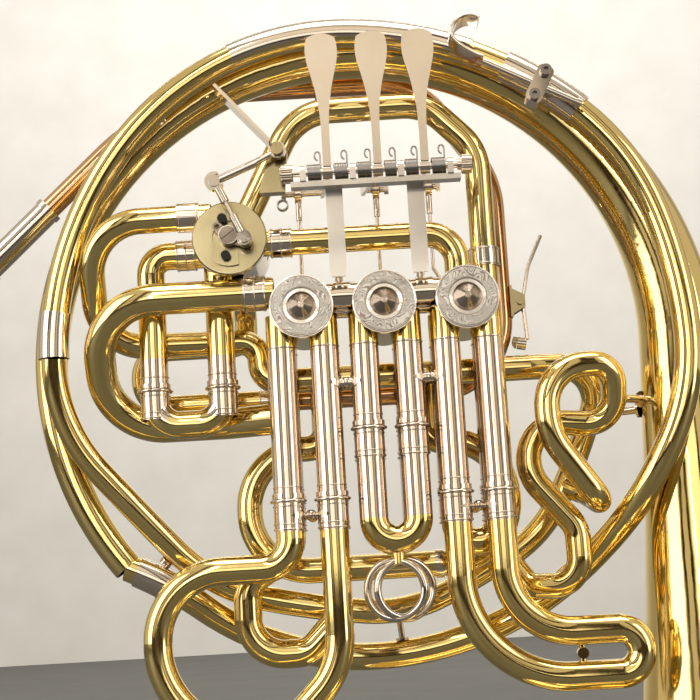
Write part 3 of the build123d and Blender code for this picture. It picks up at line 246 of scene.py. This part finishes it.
def cork():
    """Black bumper cork, matt and grainy."""
    shader = Shader("black_cork")
    grain = shader.noise(900, 5)
    tone = shader.blend(shader.remap(grain, 0, 1), (0.012, 0.011, 0.010), (0.05, 0.045, 0.04))
    shader.put("Base Color", tone)
    shader.put("Roughness", shader.remap(grain, 0.65, 0.9))
    shader.bump(grain, 0.6, 0.0003)
    return shader.material


def plain(name, low, high, rough):
    """Matt paint or paper with a faint mottle, for the floor and the wall."""
    shader = Shader(name)
    shader.put("Base Color", shader.blend(shader.remap(shader.noise(6, 4), 0, 1), low, high))
    shader.put("Roughness", rough)
    return shader.material


# ---------------------------------------------------------------- materials on the CAD nodes
brass = metal("lacquered_brass", YELLOW_BRASS, (0.05, 0.13), lacquer=0.5)
MATERIALS = {
    "yellow_brass": brass,
    "rose_brass": metal("rose_brass", ROSE_BRASS, (0.07, 0.16), lacquer=0.5),
    "nickel_silver": metal("nickel_silver", NICKEL, (0.07, 0.15)),
    "gold_brass": metal("gold_brass", GOLD_BRASS, (0.16, 0.26), grain=(900, 900, 60)),
    "spring_steel": metal("spring_wire", STEEL, (0.18, 0.30)),
    "black_cork": cork(),
}
satin = metal("satin_nickel", NICKEL, (0.14, 0.24), grain=(1500, 1500, 60))
SPECIAL = {
    "valve_caps": engraved_cap(),
    "paddle_1": satin,
    "paddle_2": satin,
    "paddle_3": satin,
    "lever_rack": metal("pale_satin", PLATED, (0.14, 0.24), grain=(1500, 1500, 60)),
    "first_slide_front": metal("brass_with_collar", YELLOW_BRASS, (0.05, 0.13), 0.5, split=FIRST_SPLIT),
    "second_slide_front": metal("brass_with_long_collar", YELLOW_BRASS, (0.05, 0.13), 0.5,
                                split=SECOND_SPLIT),
    "left_slide": metal("brass_with_side_collar", YELLOW_BRASS, (0.05, 0.13), 0.5, split=LEFT_SPLIT,
                        middle=sum(SLIDE_LEGS["left_slide"][0]) / 2),
    "change_rotor": metal("smoked_nickel", SMOKED, (0.08, 0.18)),
    "slide_sleeves": metal("sleeve_nickel", WARM_NICKEL, (0.06, 0.13), split=KNEE_Z,
                           upper=YELLOW_BRASS),
}
for name, like in (
    ("first_slide_rear", "first_slide_front"),
    ("third_slide_front", "first_slide_front"),
    ("third_slide_rear", "first_slide_front"),
    ("second_slide_rear", "second_slide_front"),
):
    SPECIAL[name] = SPECIAL[like]

slot_of = {entry["node"]: entry["material_slot"] for entry in frame["record"]["subparts"]}
for node, thing in frame["nodes"].items():
    thing.data.materials.clear()
    thing.data.materials.append(SPECIAL.get(node, MATERIALS[slot_of[node]]))


# ---------------------------------------------------------------- new pieces
def finish_piece(thing, material, body):
    """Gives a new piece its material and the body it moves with."""
    thing.data.materials.append(material)
    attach(thing, body)
    return thing


def mesh_piece(name, build, material, body, smooth=True):
    """Makes one mesh object from a function that fills a bmesh."""
    shape = bmesh.new()
    build(shape)
    bmesh.ops.recalc_face_normals(shape, faces=shape.faces)
    mesh = bpy.data.meshes.new(name)
    shape.to_mesh(mesh)
    shape.free()
    mesh.polygons.foreach_set("use_smooth", [smooth] * len(mesh.polygons))
    thing = bpy.data.objects.new(name, mesh)
    bpy.context.collection.objects.link(thing)
    return finish_piece(thing, material, body)


def sweep_profile(shape, centre, axis, profile, around=56, wave=None):
    """Turns a closed profile of (radius, height, bumpy) about an axis.

    wave gives the lift of the bumpy points at each step round the axis.
    """
    turn = Vector(axis).to_track_quat("Z", "Y").to_matrix()
    rows = []
    for step in range(around):
        angle = 2 * math.pi * step / around
        lift = wave(step) if wave else 0.0
        row = []
        for radius, height, bumpy in profile:
            reach = radius + (lift if bumpy else 0)
            spot = Vector((reach * math.cos(angle), reach * math.sin(angle), height))
            row.append(shape.verts.new(Vector(centre) + turn @ spot))
        rows.append(row)
    count = len(profile)
    for step in range(around):
        here, there = rows[step], rows[(step + 1) % around]
        for k in range(count):
            shape.faces.new((here[k], there[k], there[(k + 1) % count], here[(k + 1) % count]))


def bead_profile(radius, wire, sides=10):
    """A round bead's outline, centred on the surface of a tube."""
    points = []
    for k in range(sides):
        angle = 2 * math.pi * k / sides
        points.append((radius + wire * math.cos(angle), wire * math.sin(angle), False))
    return points


def bead_set(name, beads, body, material):
    """Raised half-round beads, each given as (centre, axis, radius of the tube, wire radius)."""
    def build(shape):
        for centre, axis, radius, wire in beads:
            sweep_profile(shape, centre, axis, bead_profile(radius, wire))
    return mesh_piece(name, build, material, body)


nickel = MATERIALS["nickel_silver"]
UP = (0, 0, 1)
ALONG_X = (1, 0, 0)
ALONG_Y = (0, 1, 0)
for node, (legs, y, foot) in SLIDE_LEGS.items():
    beads = []
    for x in legs:
        for drop, wire in COLLAR_LINES:
            beads.append(((x, y, foot - drop), UP, COLLAR_RADIUS, wire))
        lip = 0.0 if y == REAR_Y else STOP_LIP
        beads.append(((x, y, foot - COLLAR_LIP_DROP), UP, COLLAR_RADIUS + lip, max(lip + 0.0001, 0.0005)))
    bead_set(node + "_beads", beads, node + "_body", nickel)

sleeve_beads = []
for node, (legs, y, foot) in SLIDE_LEGS.items():
    for x in legs:
        sleeve_beads.append(((x, y, foot + 0.0052), UP, SLEEVE_RADIUS, 0.00035))
        if foot < 0.3:
            sleeve_beads.append(((x, y, 0.3305), UP, SLEEVE_RADIUS, 0.0004))
bead_set("sleeve_beads", sleeve_beads, "horn", nickel)

ferrule_beads = []
for left, right, y, z, radius in LEVEL_FERRULES:
    for x in (left + 0.0008, (left + right) / 2, right - 0.0008):
        ferrule_beads.append(((x, y, z), ALONG_X, radius, 0.0004))
for z in (0.3668, 0.3742):
    ferrule_beads.append(((-0.0945, -0.022, z), UP, 0.0071, 0.0004))
bead_set("ferrule_beads", ferrule_beads, "horn", nickel)


pull_beads = []
for turn, shift in ((-9, -0.0022), (14, 0.0022)):
    lean = math.radians(turn)
    middle = (PULL_RING_PLACE[0] + shift, PULL_RING_PLACE[1] + turn / 20000, PULL_RING_PLACE[2])
    outward = (math.sin(lean), -math.cos(lean), 0)
    pull_beads.append((middle, outward, PULL_RING_RADIUS, PULL_RING_WIRE))
bead_set("rounded_pull_rings", pull_beads, "second_slide_front_body", nickel)


bead_set("hub_rim", [(CHANGE_HUB, ALONG_Y, CHANGE_HUB_RADIUS, 0.00035)], "change_rotor_body", nickel)


def collar(name, middle, axis, bore, wall, half):
    """A soldered ferrule: a short turned sleeve with rounded ends and a line at each end."""
    lip = wall * 0.4
    profile = [
        (bore, -half, False), (bore + wall - lip, -half, False), (bore + wall, -half + lip, False),
        (bore + wall, half - lip, False), (bore + wall - lip, half, False), (bore, half, False),
    ]

    def build(shape):
        sweep_profile(shape, middle, axis, profile)
        for side in (-1, 1):
            spot = Vector(middle) + Vector(axis) * (half - 0.0012) * side
            sweep_profile(shape, spot, axis, bead_profile(bore + wall, 0.00028))
    return mesh_piece(name, build, nickel, "horn", smooth=False)


collar("upper_left_ferrule", (-0.2350, -0.0278, 0.397), ALONG_X, 0.00632, 0.0007, 0.0055)


def lozenge(shape, x, y, z, side):
    """A pointed flange bent round a sleeve, its middle on the side that faces the stay."""
    steps = 12
    rows = []
    for step in range(steps + 1):
        part = step / steps * 2 - 1
        angle = part * math.radians(78)
        half = 0.0042 * (1 - abs(part)) + 0.00012
        row = []
        for height in (-half, half):
            for radius in (0.00672, 0.0073):
                spot = (x + side * radius * math.cos(angle), y + radius * math.sin(angle), z + height)
                row.append(shape.verts.new(spot))
        rows.append(row)
    for here, there in zip(rows, rows[1:]):
        for a, b in ((0, 1), (1, 3), (3, 2), (2, 0)):
            shape.faces.new((here[a], here[b], there[b], there[a]))
    for end in (rows[0], rows[-1]):
        shape.faces.new((end[0], end[1], end[3], end[2]))


def lozenges(name, spots, body):
    """Pairs of pointed flanges at both ends of a stay; each spot is (left leg, right leg, y, z)."""
    def build(shape):
        for left, right, y, z in spots:
            lozenge(shape, left, y, z, 1)
            lozenge(shape, right, y, z, -1)
    return mesh_piece(name, build, nickel, body, smooth=False)


upper_stays = ((-0.1734, -0.1546, FRONT_Y, 0.313), (-0.1340, -0.1160, FRONT_Y, 0.3134))
lozenges("sleeve_stay_flanges", upper_stays, "horn")
for node in ("first_slide_front", "third_slide_front"):
    (left_leg, right_leg), y, foot = SLIDE_LEGS[node]
    lozenges(node + "_stay_flanges", ((left_leg, right_leg, y, 0.252),), node + "_body")


def knurled_knob(name, left, right, radius):
    """A knurled finger nut on the lever axle, ribbed all round with rounded shoulders."""
    middle = (left + right) / 2
    half = (right - left) / 2
    profile = [
        (0.0006, -half, False), (radius * 0.86, -half, False), (radius, -half + 0.0006, True),
        (radius, half - 0.0006, True), (radius * 0.86, half, False), (0.0006, half, False),
    ]

    def build(shape):
        sweep_profile(shape, (middle, AXLE.y, AXLE.z), ALONG_X, profile, around=96,
                      wave=lambda step: 0.00022 if step % 4 < 2 else -0.00006)
    return mesh_piece(name, build, nickel, "horn", smooth=False)


knurled_knob("left_axle_knob", -0.1893, -0.1833, 0.0043)
knurled_knob("right_axle_knob", -0.1047, -0.0995, 0.0043)


def wire_piece(name, runs, wire, material, body):
    """Round wire along one or more runs of points."""
    curve = bpy.data.curves.new(name, "CURVE")
    curve.dimensions = "3D"
    curve.bevel_depth = wire
    curve.bevel_resolution = 3
    curve.use_fill_caps = True
    for run in runs:
        line = curve.splines.new("POLY")
        line.points.add(len(run) - 1)
        for spot, point in zip(line.points, run):
            spot.co = (*point, 1)
        line.use_smooth = True
    thing = bpy.data.objects.new(name, curve)
    bpy.context.collection.objects.link(thing)
    return finish_piece(thing, material, body)


def lever_spring(left, right):
    """A coil round the axle whose end rises and closes in a small eye."""
    run = []
    steps = SPRING_TURNS * 20
    for k in range(steps + 1):
        angle = 2 * math.pi * k / 20
        x = left + (right - left) * k / steps
        across = SPRING_RADIUS * math.cos(angle)
        up = SPRING_RADIUS * math.sin(angle)
        run.append(Vector((x, AXLE.y + across, AXLE.z + up)))
    foot = run[-1]
    rise = [foot + Vector((0, -0.0002 * k, 0.0021 * k)) for k in range(1, 5)]
    eye_centre = rise[-1] + Vector((-0.0013, 0, 0.0004))
    eye = [eye_centre + Vector((0.0013 * math.cos(a), 0, 0.0013 * math.sin(a) * 1.6))
           for a in [math.radians(20 * k) for k in range(0, 15)]]
    return run + rise + eye


springs = wire_piece("lever_springs", [lever_spring(a + 0.0006, b - 0.0006) for a, b in SPRING_SPANS],
                     SPRING_WIRE, MATERIALS["spring_steel"], "horn")
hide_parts("paddle_springs")


# ---------------------------------------------------------------- floor, wall and light
def facing(place, aim, axis):
    """The placement that puts a thing at place with its own axis pointing at aim."""
    way = Vector(aim) - Vector(place)
    return Matrix.Translation(Vector(place)) @ way.to_track_quat(axis, "Y").to_matrix().to_4x4()


def card(name, size, place, look_at, material, seen=True):
    """A flat stage card facing a point."""
    mesh = bpy.data.meshes.new(name)
    w, h = size[0] / 2, size[1] / 2
    mesh.from_pydata([(-w, -h, 0), (w, -h, 0), (w, h, 0), (-w, h, 0)], [], [(0, 1, 2, 3)])
    thing = bpy.data.objects.new(name, mesh)
    bpy.context.collection.objects.link(thing)
    thing.matrix_world = facing(place, look_at, "Z")
    mesh.materials.append(material)
    thing.visible_camera = seen
    return thing


def soft_light(name, size, place, aim, power, colour=(1, 0.98, 0.95)):
    """A rectangular soft box that shines at a point."""
    light = bpy.data.lights.new(name, "AREA")
    light.shape = "RECTANGLE"
    light.size, light.size_y = size
    light.energy = power
    light.color = colour
    thing = bpy.data.objects.new(name, light)
    bpy.context.collection.objects.link(thing)
    thing.matrix_world = facing(place, aim, "-Z")


AIM = (-0.14, 0.0, 0.33)
pale_floor = plain("pale_floor", (0.085, 0.086, 0.082), (0.105, 0.105, 0.100), 0.6)
pale_wall = plain("pale_wall", (0.80, 0.79, 0.75), (0.86, 0.85, 0.82), 0.85)
dark_card = plain("dark_card", (0.030, 0.018, 0.009), (0.065, 0.042, 0.022), 0.9)
card("floor", (24, 24), (0, 2, 0), (0, 2, 5), pale_floor)
card("wall", (24, 10), (0, 5.0, 4.9), (0, 0, 4.9), pale_wall)
for spot, width in ((-1.40, 0.20), (-0.80, 0.16), (0.22, 0.14), (0.85, 0.20)):
    card("dark_card", (width, 2.2), (spot, -1.55, 0.9), AIM, dark_card, seen=False)
for height, depth in ((0.04, 0.4), (0.78, 0.08)):
    card("long_dark_card", (3.0, depth), (-0.1, -1.75, height), AIM, dark_card, seen=False)

soft_light("window_left", (1.2, 2.0), (-1.9, -1.0, 1.1), AIM, 17)
soft_light("window_right", (0.7, 2.0), (1.6, -1.2, 0.9), AIM, 10)
soft_light("sparkle", (0.07, 1.3), (-0.55, -1.8, 1.0), AIM, 2.2)
soft_light("warm_front", (1.0, 0.9), (-0.1, -2.0, 1.45), AIM, 1.0, (1, 0.84, 0.58))
soft_light("room_front", (1.5, 1.2), (-0.35, -2.7, 0.45), AIM, 5.0, (1, 0.95, 0.86))
soft_light("top", (1.4, 1.0), (0.0, -0.3, 1.9), AIM, 14)
soft_light("wall_wash", (4.0, 1.0), (0, 2.6, 3.4), (0, 5.0, 0.9), 98)

world = bpy.data.worlds.new("studio")
world.use_nodes = True
world.node_tree.nodes["Background"].inputs["Color"].default_value = (1.0, 0.89, 0.72, 1)
world.node_tree.nodes["Background"].inputs["Strength"].default_value = 0.60
bpy.context.scene.world = world
bpy.context.scene.view_settings.view_transform = "Standard"

# ---------------------------------------------------------------- camera
CAMERA_PLACE = Vector((-0.161315, -0.727904, 0.217536))
CAMERA_TILT = math.radians(9.0)
CAMERA_ROLL = math.radians(3.3)
forward = Vector((0, math.cos(CAMERA_TILT), math.sin(CAMERA_TILT)))
level_right = Vector((1, 0, 0))
level_up = Vector((0, -math.sin(CAMERA_TILT), math.cos(CAMERA_TILT)))
right = level_right * math.cos(CAMERA_ROLL) - level_up * math.sin(CAMERA_ROLL)
up = level_right * math.sin(CAMERA_ROLL) + level_up * math.cos(CAMERA_ROLL)
lens = bpy.data.cameras.new("camera")
lens.lens = 77.14
lens.sensor_width = 36
camera = bpy.data.objects.new("camera", lens)
bpy.context.collection.objects.link(camera)
turned = Matrix((right, up, -forward)).transposed().to_4x4()
camera.matrix_world = Matrix.Translation(CAMERA_PLACE) @ turned
bpy.context.scene.camera = camera

bpy.context.view_layer.update()
